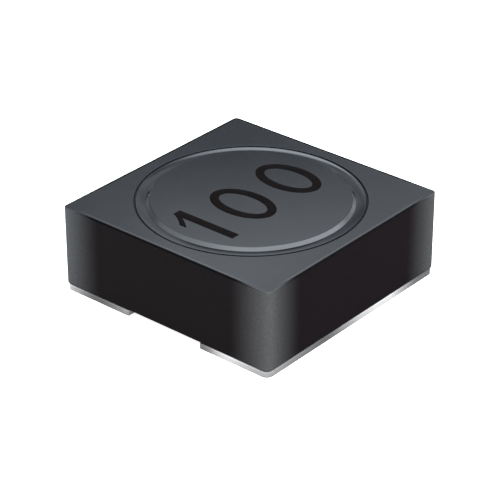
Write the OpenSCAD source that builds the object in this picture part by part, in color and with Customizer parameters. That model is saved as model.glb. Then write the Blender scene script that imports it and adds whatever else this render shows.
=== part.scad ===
// Shielded surface-mount power inductor.
// A ferrite drum with a copper winding sits in the round bore of a square ferrite
// shield. Two flat tinned terminals are glued under the body and soldered to the
// wire's two ends. All sizes are in millimetres, the origin is under the middle of
// the body on the plane that the terminals rest on, and +Z is up. The terminals
// lie at -X and +X, and each runs along Y.

/* [Shield core] */
// Side of the square body
body_w = 12.5; // [12.4:0.1:13.4]
// Height of the ferrite shield, without the terminals
shield_h = 4.10; // [4.1:0.05:4.6]
// Radius of the four upright corners
corner_r = 0.22; // [0.12:0.02:0.5]
// Chamfer along the upper and lower edges
edge_c = 0.04; // [0.02:0.01:0.08]
// Chamfer round the bore's two mouths
mouth_c = 0.01; // [0.01:0.005:0.05]
// Radius of the round bore
bore_r = 5.53; // [5.51:0.01:5.6]

/* [Drum core] */
// Width of the seam between drum and shield
seam_w = 0.11; // [0.04:0.01:0.12]
// Thickness of the upper flange at its rim
upper_flange_t = 0.8; // [0.75:0.05:0.9]
// Thickness of the lower flange
lower_flange_t = 0.75; // [0.7:0.05:0.8]
// Radius of the post that carries the winding
post_r = 2.7; // [2.6:0.02:2.72]
// Radius at the foot of the raised disc on the upper flange
disc_r = 4.95; // [4.85:0.01:5]
// Height of the raised disc above the shield
disc_h = 0.075; // [0.06:0.005:0.14]
// Slope of the raised disc's edge, in degrees
disc_slope = 40; // [35:1:55]
// Fall of the shallow hollow round the disc at its outer edge, in degrees
hollow_outer_a = 10; // [8:0.5:12]
// Fall of the hollow at the disc's foot, in degrees
hollow_inner_a = 3.5; // [2:0.5:5]
// Width of the two wire slots in the lower flange
slot_w = 1.0; // [0.98:0.02:1.2]

/* [Winding] */
// Diameter of the enamelled copper wire
wire_d = 0.6; // [0.58:0.01:0.6]
// Flats round the wire's section
wire_sides = 10; // [8:2:12]

/* [Terminals] */
// Thickness of the terminal plates
terminal_t = 0.31; // [0.26:0.01:0.32]
// Width of a terminal plate across its short side
terminal_w = 4.05; // [3.8:0.05:4.2]
// Radius of a terminal's two outer corners
terminal_corner_r = 0.35; // [0.2:0.05:0.5]
// Radius of a terminal's two inner corners
terminal_inner_r = 0.06; // [0.02:0.02:0.1]
// Length of the window over the wire's end
window_l = 2.2; // [2.2:0.05:2.3]
// Width of the window over the wire's end
window_w = 1.1; // [1:0.05:1.3]
// Thickness of the glue film over each plate
film_t = 0.02; // [0.02:0.01:0.05]

/* [Marking] */
// Height of the printed digits
digit_h = 3.6; // [2.8:0.05:3.8]
// Stroke width of the printed digits
stroke_w = 0.46; // [0.3:0.01:0.5]
// Thickness of the ink
ink_t = 0.02; // [0.01:0.01:0.03]

/* [Hidden] */
$fn = 96;
e = 0.01;
LAYERS = 4;                                   // even, so that both wire ends leave at the bottom
body_z = terminal_t + film_t;                 // underside of the ferrite
top_z = body_z + shield_h;                    // upper face of the shield
flange_r = bore_r - seam_w;                   // radius of both drum flanges
low_z = body_z + lower_flange_t;              // floor of the winding space
high_z = top_z - upper_flange_t;              // ceiling of the winding space
disc_z = top_z + disc_h;                      // upper face of the raised disc

// Between the seam and the raised disc the upper face falls inward: one arc,
// nearly level at the disc's foot and steepest at the seam.
rim_z = top_z - 0.01;                         // the flange's outer edge at the seam
hollow_arc = (flange_r - disc_r) / (sin(hollow_outer_a) - sin(hollow_inner_a));
hollow_x = flange_r - hollow_arc * sin(hollow_outer_a);
hollow_z = rim_z + hollow_arc * cos(hollow_outer_a);
foot_z = hollow_z - hollow_arc * cos(hollow_inner_a);   // the foot of the raised disc
disc_run = (disc_z - foot_z) / tan(disc_slope);         // width of the disc's sloping edge

// Winding: helices with a short level crossing between layers.
wire_r = wire_d / 2;
coil_lo = low_z + wire_r + e;                 // lowest turn's centre
coil_hi = high_z - wire_r - 0.06;             // highest turn's centre
rise = coil_hi - coil_lo;
turns = floor(rise / (wire_d + 0.012));       // whole turns in one layer
layer_p = wire_d + 0.02;                      // spacing of the layers
cross_a = 60;                                 // angle of a crossing between layers
step_a = 15;                                  // angle between the sections of the sweep
end_z = 0.07 + wire_r;                        // centre of the wire's two flat-lying ends
bend_r = (coil_lo - end_z) / 2;               // both bends of a lead
function layer_r(i) = post_r + 0.03 + wire_r + i * layer_p;
r_first = layer_r(0);
r_last = layer_r(LAYERS - 1);
layer_a = turns * 360 + cross_a;              // angle from one layer's start to the next
total_a = LAYERS * turns * 360 + (LAYERS - 1) * cross_a;
a_in = bend_r / r_first * 180 / PI;           // angle that the entering bend takes up
a_out = bend_r / r_last * 180 / PI;

window_x = body_w / 2 - 2.3;                  // middle of a terminal's window
lead_in_tip = 4.6;                            // outer end of the first lead
lead_out_tip = 3.3;                           // inner end of the last lead

// ---------- flat outlines ----------

// A rectangle between two corners, with its corners rounded
module rounded_rect(x0, y0, x1, y1, r) {
    translate([x0 + r, y0]) square([x1 - x0 - 2 * r, y1 - y0]);
    translate([x0, y0 + r]) square([x1 - x0, y1 - y0 - 2 * r]);
    for (x = [x0 + r, x1 - r], y = [y0 + r, y1 - r])
        translate([x, y]) circle(r = r);
}

// A plate between two corners, with its own radius at the low and at the high x
module plate_outline(x0, y0, x1, y1, r0, r1) {
    translate([x0 + r0, y0]) square([x1 - x0 - r0 - r1, y1 - y0]);
    translate([x0, y0 + r0]) square([2 * r0, y1 - y0 - 2 * r0]);
    translate([x1 - 2 * r1, y0 + r1]) square([2 * r1, y1 - y0 - 2 * r1]);
    for (y = [y0 + r0, y1 - r0]) translate([x0 + r0, y]) circle(r = r0, $fn = 32);
    for (y = [y0 + r1, y1 - r1]) translate([x1 - r1, y]) circle(r = r1);
}

// Half section of the body across its width, with chamfered edges
module body_section() {
    w = body_w / 2;
    polygon([[-w + edge_c, body_z], [w - edge_c, body_z], [w, body_z + edge_c],
             [w, top_z - edge_c], [w - edge_c, top_z], [-w + edge_c, top_z],
             [-w, top_z - edge_c], [-w, body_z + edge_c]]);
}

// ---------- shield ----------

module shield_core() color([0.2, 0.21, 0.22]) {
    difference() {
        intersection() {
            translate([0, 0, body_z - 1]) linear_extrude(shield_h + 2)
                rounded_rect(-body_w / 2, -body_w / 2, body_w / 2, body_w / 2, corner_r);
            rotate([90, 0, 0]) linear_extrude(body_w + 2, center = true) body_section();
            rotate([90, 0, 90]) linear_extrude(body_w + 2, center = true) body_section();
        }
        translate([0, 0, body_z - 1]) cylinder(r = bore_r, h = shield_h + 2);
        // the bore's mouths are broken with small chamfers
        translate([0, 0, top_z - mouth_c]) cylinder(r1 = bore_r, r2 = bore_r + 2 * mouth_c, h = 2 * mouth_c);
        translate([0, 0, body_z - mouth_c]) cylinder(r1 = bore_r + 2 * mouth_c, r2 = bore_r, h = 2 * mouth_c);
    }
}

// ---------- drum ----------

// Half section of the drum: lower flange, post, upper flange, and the raised disc
module drum_section() {
    c = 0.1;
    difference() {
        polygon([
            [0, body_z], [flange_r - c, body_z], [flange_r, body_z + c], [flange_r, low_z],
            [post_r + c, low_z], [post_r, low_z + c],
            [post_r, high_z - c], [post_r + c, high_z],
            [flange_r, high_z], [flange_r, rim_z], [0, rim_z]]);
        // hollow round the disc
        intersection() {
            translate([hollow_x, hollow_z]) circle(r = hollow_arc, $fn = 480);
            translate([disc_r, rim_z - 1]) square([flange_r, 2]);
        }
    }
    // raised disc with a sloping edge
    polygon([[0, rim_z - 0.3], [disc_r, rim_z - 0.3], [disc_r, foot_z], [disc_r - disc_run, disc_z], [0, disc_z]]);
}

module drum_core() color([0.24, 0.25, 0.26]) {
    difference() {
        rotate_extrude() drum_section();
        // wire slots, from the rim to the post's foot
        for (s = [-1, 1])
            translate([s * (post_r - 0.03 + 2), 0, low_z - 0.88])
                cube([4, slot_w, 2], center = true);
    }
}

// ---------- winding ----------

function unit(v) = v / norm(v);
// A point on a cylinder, from its radius, angle and height
function on_cyl(r, a, z) = [r * cos(a), r * sin(a), z];
// Radius and height of the coil's centre line at an angle along the wire
function layer_of(a) = min(LAYERS - 1, floor(a / layer_a));
function smooth(t) = t * t * (3 - 2 * t);
function coil_r(a) = let (i = layer_of(a), b = a - i * layer_a)
    b <= turns * 360 ? layer_r(i)
    : layer_r(i) + layer_p * smooth((b - turns * 360) / cross_a);
function coil_z(a) = let (i = layer_of(a), b = a - i * layer_a,
                          s = i == 0 ? a_in : 0,
                          t = turns * 360 - (i == LAYERS - 1 ? a_out : 0),
                          k = min(1, max(0, (b - s) / (t - s))))
    i % 2 == 0 ? coil_lo + rise * k : coil_hi - rise * k;

bend_n = 6;
lead_in = concat(
    [[lead_in_tip, 0, end_z]],
    [for (i = [0 : bend_n]) let (a = 90 * i / bend_n)
        [r_first + bend_r - bend_r * sin(a), 0, end_z + bend_r - bend_r * cos(a)]],
    [for (i = [1 : bend_n]) let (a = 90 * i / bend_n)
        on_cyl(r_first, a_in * (1 - cos(a)), coil_lo - bend_r + bend_r * sin(a))]);
coil = [for (a = [step_a : step_a : total_a - step_a]) if (a > a_in + 1 && a < total_a - a_out - 1)
    on_cyl(coil_r(a), a, coil_z(a))];
lead_out = concat(
    [for (i = [bend_n : -1 : 1]) let (a = 90 * i / bend_n)
        on_cyl(r_last, total_a - a_out * (1 - cos(a)), coil_lo - bend_r + bend_r * sin(a))],
    [for (i = [bend_n : -1 : 0]) let (a = 90 * i / bend_n)
        [-(r_last - bend_r + bend_r * sin(a)), 0, end_z + bend_r - bend_r * cos(a)]],
    [[-lead_out_tip, 0, end_z]]);
wire_path = concat(lead_in, coil, lead_out);

function tangents(p) = let (n = len(p))
    [for (i = [0 : n - 1]) unit(p[min(n - 1, i + 1)] - p[max(0, i - 1)])];
// A side vector for each section, carried along so that the section doesn't twist
function sides(t) = [for (i = 0, v = [0, 1, 0]; i < len(t);
                          i = i + 1, v = i < len(t) ? unit(v - (v * t[i]) * t[i]) : v) v];

module swept_tube(p, r, k) {
    n = len(p);
    t = tangents(p);
    u = sides(t);
    points = [for (i = [0 : n - 1]) let (b = cross(t[i], u[i]))
              for (j = [0 : k - 1]) p[i] + r * (cos(360 * j / k) * u[i] + sin(360 * j / k) * b)];
    faces = concat(
        [for (i = [0 : n - 2], j = [0 : k - 1]) [i * k + j, (i + 1) * k + j, (i + 1) * k + (j + 1) % k]],
        [for (i = [0 : n - 2], j = [0 : k - 1]) [i * k + j, (i + 1) * k + (j + 1) % k, i * k + (j + 1) % k]],
        [[for (j = [0 : k - 1]) j]],
        [[for (j = [k - 1 : -1 : 0]) (n - 1) * k + j]]);
    polyhedron(points, faces, convexity = 12);
}

module winding() color([0.72, 0.4, 0.2]) swept_tube(wire_path, wire_r, wire_sides);

// ---------- resin in the gap between drum and shield ----------

module resin_ring(z0, z1) {
    translate([0, 0, z0]) difference() {
        cylinder(r = bore_r, h = z1 - z0);
        translate([0, 0, -1]) cylinder(r = flange_r, h = z1 - z0 + 2);
    }
}

module core_adhesive() color([0.06, 0.055, 0.055]) {
    resin_ring(high_z + 0.1, top_z - 0.11);
    difference() {
        resin_ring(body_z + 0.12, low_z - 0.1);
        cube([20, slot_w + 0.2, 20], center = true);
    }
}

// ---------- terminals ----------

// The pieces under the +X side; the -X side has them turned half round
module terminal_plate() {
    linear_extrude(terminal_t) difference() {
        plate_outline(body_w / 2 - terminal_w, -body_w / 2, body_w / 2, body_w / 2, terminal_inner_r, terminal_corner_r);
        window_outline();
    }
}

module window_outline() {
    rounded_rect(window_x - window_l / 2, -window_w / 2, window_x + window_l / 2, window_w / 2, 0.3);
}

module terminal_left() color([0.8, 0.8, 0.79]) rotate([0, 0, 180]) terminal_plate();
module terminal_right() color([0.8, 0.8, 0.79]) terminal_plate();

// Solder fills the window up to the wire, a little below the plate's two faces
module solder_fill() {
    translate([0, 0, 0.03]) linear_extrude(terminal_t - 0.05) window_outline();
}

module solder_joint_left() color([0.72, 0.72, 0.71]) difference() {
    rotate([0, 0, 180]) solder_fill();
    translate([-(r_last - bend_r), 0, end_z]) rotate([0, 90, 0]) cylinder(r = wire_r, h = r_last - bend_r - lead_out_tip);
    translate([-(r_last - bend_r), 0, end_z + bend_r]) rotate([90, 0, 0]) rotate([0, 0, 180]) rotate_extrude(angle = 90) translate([bend_r, 0]) circle(r = wire_r);
}

module solder_joint_right() color([0.72, 0.72, 0.71]) difference() {
    solder_fill();
    translate([r_first + bend_r, 0, end_z]) rotate([0, 90, 0]) cylinder(r = wire_r, h = lead_in_tip - r_first - bend_r);
    translate([r_first + bend_r, 0, end_z + bend_r]) rotate([90, 0, 0]) rotate([0, 0, 180]) rotate_extrude(angle = 90) translate([bend_r, 0]) circle(r = wire_r);
}

// Glue film between plate and ferrite, left out round the wire slot
module glue_film() {
    translate([0, 0, terminal_t]) linear_extrude(film_t) difference() {
        rounded_rect(body_w / 2 - terminal_w + 0.12, -body_w / 2 + 0.12, body_w / 2 - 0.12, body_w / 2 - 0.12, 0.25);
        translate([post_r - 0.1, -slot_w / 2 - 0.1]) square([bore_r + 0.1 - post_r + 0.1, slot_w + 0.2]);
    }
}

module terminal_adhesive_left() color([0.3, 0.22, 0.12]) rotate([0, 0, 180]) glue_film();
module terminal_adhesive_right() color([0.3, 0.22, 0.12]) glue_film();

// ---------- printed digits ----------

// Baseline 2 mm toward +X from the middle, reading toward +Y
digit_w = digit_h * 0.65;

module oval(w, h) {
    polygon([for (i = [0 : 47]) [w / 2 * cos(i * 7.5), h / 2 * sin(i * 7.5)]]);
}

module digit_zero() {
    difference() {
        oval(digit_w, digit_h);
        oval(digit_w - 2 * stroke_w, digit_h - 1.9 * stroke_w);
    }
}

// A stem with a curved flag at its top left, the flag's two edges being arcs
module digit_one() {
    h = digit_h / 2;
    square_x = -stroke_w / 2;
    translate([square_x, -h]) square([stroke_w, digit_h]);
    polygon(concat(
        [[0, h], [square_x, h]],
        [for (i = [1 : 8]) let (t = i / 8)
            [square_x - t * 0.6, h - 0.26 * digit_h * pow(t, 0.7)]],
        [for (i = [8 : -1 : 0]) let (t = i / 8)
            [square_x - t * 0.6 + 0.02, h - 0.13 * digit_h - 0.24 * digit_h * pow(t, 0.8)]],
        [[0, h - 0.13 * digit_h]]));
}

module value_marking() color([0.03, 0.025, 0.025]) {
    translate([0.12, 0, disc_z]) rotate([0, 0, 90]) linear_extrude(ink_t) {
        translate([-3.36, 0]) digit_one();
        translate([-0.72, 0]) digit_zero();
        translate([2.62, 0]) digit_zero();
    }
}

shield_core();
drum_core();
winding();
core_adhesive();
terminal_left();
terminal_right();
solder_joint_left();
solder_joint_right();
terminal_adhesive_left();
terminal_adhesive_right();
value_marking();
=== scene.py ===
import bpy
import bmesh
import math
from mathutils import Matrix, Vector


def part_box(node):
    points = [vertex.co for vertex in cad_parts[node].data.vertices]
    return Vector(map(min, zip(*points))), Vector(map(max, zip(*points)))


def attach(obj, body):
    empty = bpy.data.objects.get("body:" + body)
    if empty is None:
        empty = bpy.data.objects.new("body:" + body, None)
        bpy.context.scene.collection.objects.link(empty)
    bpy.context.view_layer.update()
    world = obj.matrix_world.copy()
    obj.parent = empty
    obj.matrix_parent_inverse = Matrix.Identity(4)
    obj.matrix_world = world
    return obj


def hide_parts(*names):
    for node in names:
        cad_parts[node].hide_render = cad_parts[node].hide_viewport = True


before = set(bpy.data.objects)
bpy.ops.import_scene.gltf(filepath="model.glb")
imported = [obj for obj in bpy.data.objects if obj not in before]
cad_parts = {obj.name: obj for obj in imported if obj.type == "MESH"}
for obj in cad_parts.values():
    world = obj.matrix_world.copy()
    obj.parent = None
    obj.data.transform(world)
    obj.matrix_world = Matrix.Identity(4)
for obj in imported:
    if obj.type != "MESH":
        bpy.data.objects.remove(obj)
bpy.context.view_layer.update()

# Lengths below are in millimetres, as in the model's source, and become metres in make().
MM = 0.001


def box_mm(node):
    lo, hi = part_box(node)
    return [v / MM for v in lo], [v / MM for v in hi]


shield_lo, shield_hi = box_mm("shield_core")
drum_lo, drum_hi = box_mm("drum_core")
plate_lo, plate_hi = box_mm("terminal_right")
ink_lo, ink_hi = box_mm("value_marking")
wire_lo, wire_hi = box_mm("winding")
resin_lo, resin_hi = box_mm("core_adhesive")
solder_lo, solder_hi = box_mm("solder_joint_right")

HALF = shield_hi[0]            # half the body's side
BODY_Z = shield_lo[2]          # underside of the ferrite
TOP_Z = shield_hi[2]           # upper face of the shield
DISC_Z = drum_hi[2]            # upper face of the raised disc
FLANGE_R = drum_hi[0]          # radius of both drum flanges
BORE_R = resin_hi[0]           # radius of the shield's bore
PLATE_T = plate_hi[2]          # thickness of a terminal
PLATE_X = plate_lo[0]          # inner edge of the right terminal
INK_Z = ink_hi[2]              # upper face of the ink

CORNER_R = 0.22
PLATE_R = (0.06, 0.35)          # the plate's inner and outer corners
POST_R = 2.7
LOW_Z = BODY_Z + 0.75
HIGH_Z = TOP_Z - 0.8
DISC_R = 4.95
HOLLOW = (3.5, 10.0)           # fall of the hollow round the disc, in degrees, at its inner and outer edge
DISC_SLOPE = 40.0
SLOT_W = 1.0
WIRE_R = 0.3
WINDOW = (solder_lo[0], -0.55, solder_hi[0], 0.55)


# ---------------------------------------------------------------- camera

cam_data = bpy.data.cameras.new("camera")
cam_data.sensor_width = 36.0
cam_data.lens = 152.586
cam_data.clip_start = 0.005
cam_data.clip_end = 5.0
camera = bpy.data.objects.new("camera", cam_data)
bpy.context.scene.collection.objects.link(camera)
camera.location = (0.0566895, -0.0672993, 0.0513014)
cam_az, cam_el = math.radians(40.139), math.radians(29.432)
cam_back = Vector((math.sin(cam_az) * math.cos(cam_el), -math.cos(cam_az) * math.cos(cam_el), math.sin(cam_el)))
camera.rotation_mode = "QUATERNION"
camera.rotation_quaternion = (-cam_back).to_track_quat("-Z", "Y")
bpy.context.scene.camera = camera


# ---------------------------------------------------------------- mesh helpers

def make(name, verts, faces, replaces, materials, face_mat=None, smooth_angle=35.0):
    """A closed mesh piece from vertices in millimetres."""
    mesh = bpy.data.meshes.new(name)
    mesh.from_pydata([(x * MM, y * MM, z * MM) for x, y, z in verts], [], faces)
    for m in materials:
        mesh.materials.append(m)
    if face_mat:
        for poly, k in zip(mesh.polygons, face_mat):
            poly.material_index = k
    bm = bmesh.new()
    bm.from_mesh(mesh)
    bmesh.ops.remove_doubles(bm, verts=bm.verts, dist=1e-9)
    bmesh.ops.recalc_face_normals(bm, faces=bm.faces)
    bm.to_mesh(mesh)
    bm.free()
    return place(name, mesh, replaces, smooth_angle)


def place(name, mesh, replaces, smooth_angle=35.0):
    obj = bpy.data.objects.new(name, mesh)
    bpy.context.scene.collection.objects.link(obj)
    mesh.polygons.foreach_set("use_smooth", [True] * len(mesh.polygons))
    mesh.set_sharp_from_angle(angle=math.radians(smooth_angle))
    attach(obj, "root")
    if replaces:
        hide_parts(*replaces)
    return obj


def bridge(n, loops, closed=True):
    """Quads between successive loops of n points each."""
    faces = []
    m = len(loops)
    for a in range(m if closed else m - 1):
        p, q = loops[a], loops[(a + 1) % m]
        for i in range(n):
            j = (i + 1) % n
            faces.append((p[i], p[j], q[j], q[i]))
    return faces


def arc(cx, cy, r, a0, a1, n):
    """Points on an arc, angles in degrees, both ends included."""
    return [(cx + r * math.cos(math.radians(a0 + (a1 - a0) * i / n)),
             cy + r * math.sin(math.radians(a0 + (a1 - a0) * i / n))) for i in range(n + 1)]


def supported(points, gap=0.012):
    """A profile with a point close to both ends of each long straight run, so that smooth shading stays flat there."""
    out = []
    for p, q in zip(points, points[1:]):
        out.append(p)
        kind_p, kind_q = p[:-2], q[:-2]
        d = math.hypot(q[-2] - p[-2], q[-1] - p[-1])
        if kind_p == kind_q and d > 4 * gap:
            for t in (gap / d, 1 - gap / d):
                out.append(kind_p + (p[-2] + (q[-2] - p[-2]) * t, p[-1] + (q[-1] - p[-1]) * t))
    out.append(points[-1])
    return out


def rect_ray(rect, r, off, cx, cy, ang):
    """Where a ray from (cx, cy) meets a rounded rectangle that is shrunk by off. r is its corners' radius, or two, at the low and the high x."""
    x0, y0, x1, y1 = rect[0] + off, rect[1] + off, rect[2] - off, rect[3] - off
    mx, my, hx, hy = (x0 + x1) / 2, (y0 + y1) / 2, (x1 - x0) / 2, (y1 - y0) / 2
    radii = r if isinstance(r, tuple) else (r, r)
    ux, uy = math.cos(ang), math.sin(ang)

    def outside(t):
        px, py = cx + ux * t - mx, cy + uy * t - my
        c = max(radii[1 if px > 0 else 0] - off, 1e-4)
        qx, qy = abs(px) - hx + c, abs(py) - hy + c
        return math.hypot(max(qx, 0), max(qy, 0)) + min(max(qx, qy), 0) - c > 0

    lo, hi = 0.0, 40.0
    for _ in range(48):
        mid = (lo + hi) / 2
        if outside(mid):
            hi = mid
        else:
            lo = mid
    return cx + ux * lo, cy + uy * lo


def rect_angles(rect, r, cx, cy, step):
    """Ray angles that follow a rounded rectangle closely, with its corners sampled finely."""
    out = []
    x0, y0, x1, y1 = rect
    a, b = r if isinstance(r, tuple) else (r, r)
    for mx, my, c, start in ((x1 - b, y1 - b, b, 0), (x0 + a, y1 - a, a, 90), (x0 + a, y0 + a, a, 180), (x1 - b, y0 + b, b, 270)):
        pts = arc(mx, my, c, start, start + 90, 8)
        u, v = math.radians(start), math.radians(start + 90)
        # two more points on the straight sides, close to the arc's ends
        pts.append((pts[0][0] + 0.02 * math.sin(u), pts[0][1] - 0.02 * math.cos(u)))
        pts.append((pts[8][0] - 0.02 * math.sin(v), pts[8][1] + 0.02 * math.cos(v)))
        for px, py in pts:
            out.append(math.atan2(py - cy, px - cx) % (2 * math.pi))
    n = int(round(2 * math.pi / step))
    for i in range(n):
        a = i * 2 * math.pi / n
        if all(abs((a - b + math.pi) % (2 * math.pi) - math.pi) > step * 0.45 for b in out[:44]):
            out.append(a)
    return sorted(set(round(a, 9) for a in out))


# ---------------------------------------------------------------- materials

def material(name):
    m = bpy.data.materials.new(name)
    m.use_nodes = True
    nt = m.node_tree
    nt.nodes.clear()
    out = nt.nodes.new("ShaderNodeOutputMaterial")
    bsdf = nt.nodes.new("ShaderNodeBsdfPrincipled")
    nt.links.new(bsdf.outputs["BSDF"], out.inputs["Surface"])
    return m, nt, bsdf


def mm_coords(nt, offset=(0, 0, 0), stretch=(1, 1, 1)):
    """Object coordinates in millimetres."""
    tc = nt.nodes.new("ShaderNodeTexCoord")
    mp = nt.nodes.new("ShaderNodeMapping")
    mp.inputs["Scale"].default_value = tuple(1000.0 * s for s in stretch)
    mp.inputs["Location"].default_value = offset
    nt.links.new(tc.outputs["Object"], mp.inputs["Vector"])
    return mp.outputs["Vector"]


def noise(nt, vec, scale, detail=3.0, rough=0.55, distortion=0.0):
    n = nt.nodes.new("ShaderNodeTexNoise")
    n.inputs["Scale"].default_value = scale
    n.inputs["Detail"].default_value = detail
    n.inputs["Roughness"].default_value = rough
    n.inputs["Distortion"].default_value = distortion
    nt.links.new(vec, n.inputs["Vector"])
    return n.outputs["Fac"]


def math_node(nt, op, a, b=None, c=None, clamp=False):
    n = nt.nodes.new("ShaderNodeMath")
    n.operation = op
    n.use_clamp = clamp
    for i, v in enumerate((a, b, c)):
        if v is None:
            continue
        if isinstance(v, (int, float)):
            n.inputs[i].default_value = v
        else:
            nt.links.new(v, n.inputs[i])
    return n.outputs[0]


def remap(nt, v, a0, a1, b0, b1, smooth=False):
    n = nt.nodes.new("ShaderNodeMapRange")
    n.interpolation_type = "SMOOTHSTEP" if smooth else "LINEAR"
    n.inputs["From Min"].default_value = a0
    n.inputs["From Max"].default_value = a1
    n.inputs["To Min"].default_value = b0
    n.inputs["To Max"].default_value = b1
    nt.links.new(v, n.inputs["Value"])
    return n.outputs["Result"]


def ramp(nt, v, stops, interpolation="LINEAR"):
    n = nt.nodes.new("ShaderNodeValToRGB")
    n.color_ramp.interpolation = interpolation
    e = n.color_ramp.elements
    while len(e) < len(stops):
        e.new(0.5)
    for k, (pos, col) in enumerate(stops):
        e[k].position = pos
        e[k].color = (col[0], col[1], col[2], 1.0)
    nt.links.new(v, n.inputs["Fac"])
    return n.outputs["Color"]


def mix_colour(nt, fac, a, b, kind="MIX"):
    n = nt.nodes.new("ShaderNodeMix")
    n.data_type = "RGBA"
    n.blend_type = kind
    for sock, v in ((n.inputs[0], fac), (n.inputs[6], a), (n.inputs[7], b)):
        if isinstance(v, (int, float)):
            sock.default_value = v
        elif isinstance(v, tuple):
            sock.default_value = (v[0], v[1], v[2], 1.0)
        else:
            nt.links.new(v, sock)
    return n.outputs[2]


def bump(nt, bsdf, height, strength, distance):
    n = nt.nodes.new("ShaderNodeBump")
    n.inputs["Strength"].default_value = strength
    n.inputs["Distance"].default_value = distance
    nt.links.new(height, n.inputs["Height"])
    nt.links.new(n.outputs["Normal"], bsdf.inputs["Normal"])
    return n


def corner_fade(nt, x, y):
    """1 along the edges, 0 at three of the upright corners, where the sides carry a painted highlight."""
    ax, ay = math_node(nt, "ABSOLUTE", x), math_node(nt, "ABSOLUTE", y)
    d = math_node(nt, "SUBTRACT", 2 * HALF, math_node(nt, "ADD", ax, ay))
    along = remap(nt, d, 0.5, 2.0, 0.0, 1.0, smooth=True)
    return math_node(nt, "MAXIMUM", along, remap(nt, math_node(nt, "SUBTRACT", x, y), -9.5, -6.5, 1.0, 0.0))


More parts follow.
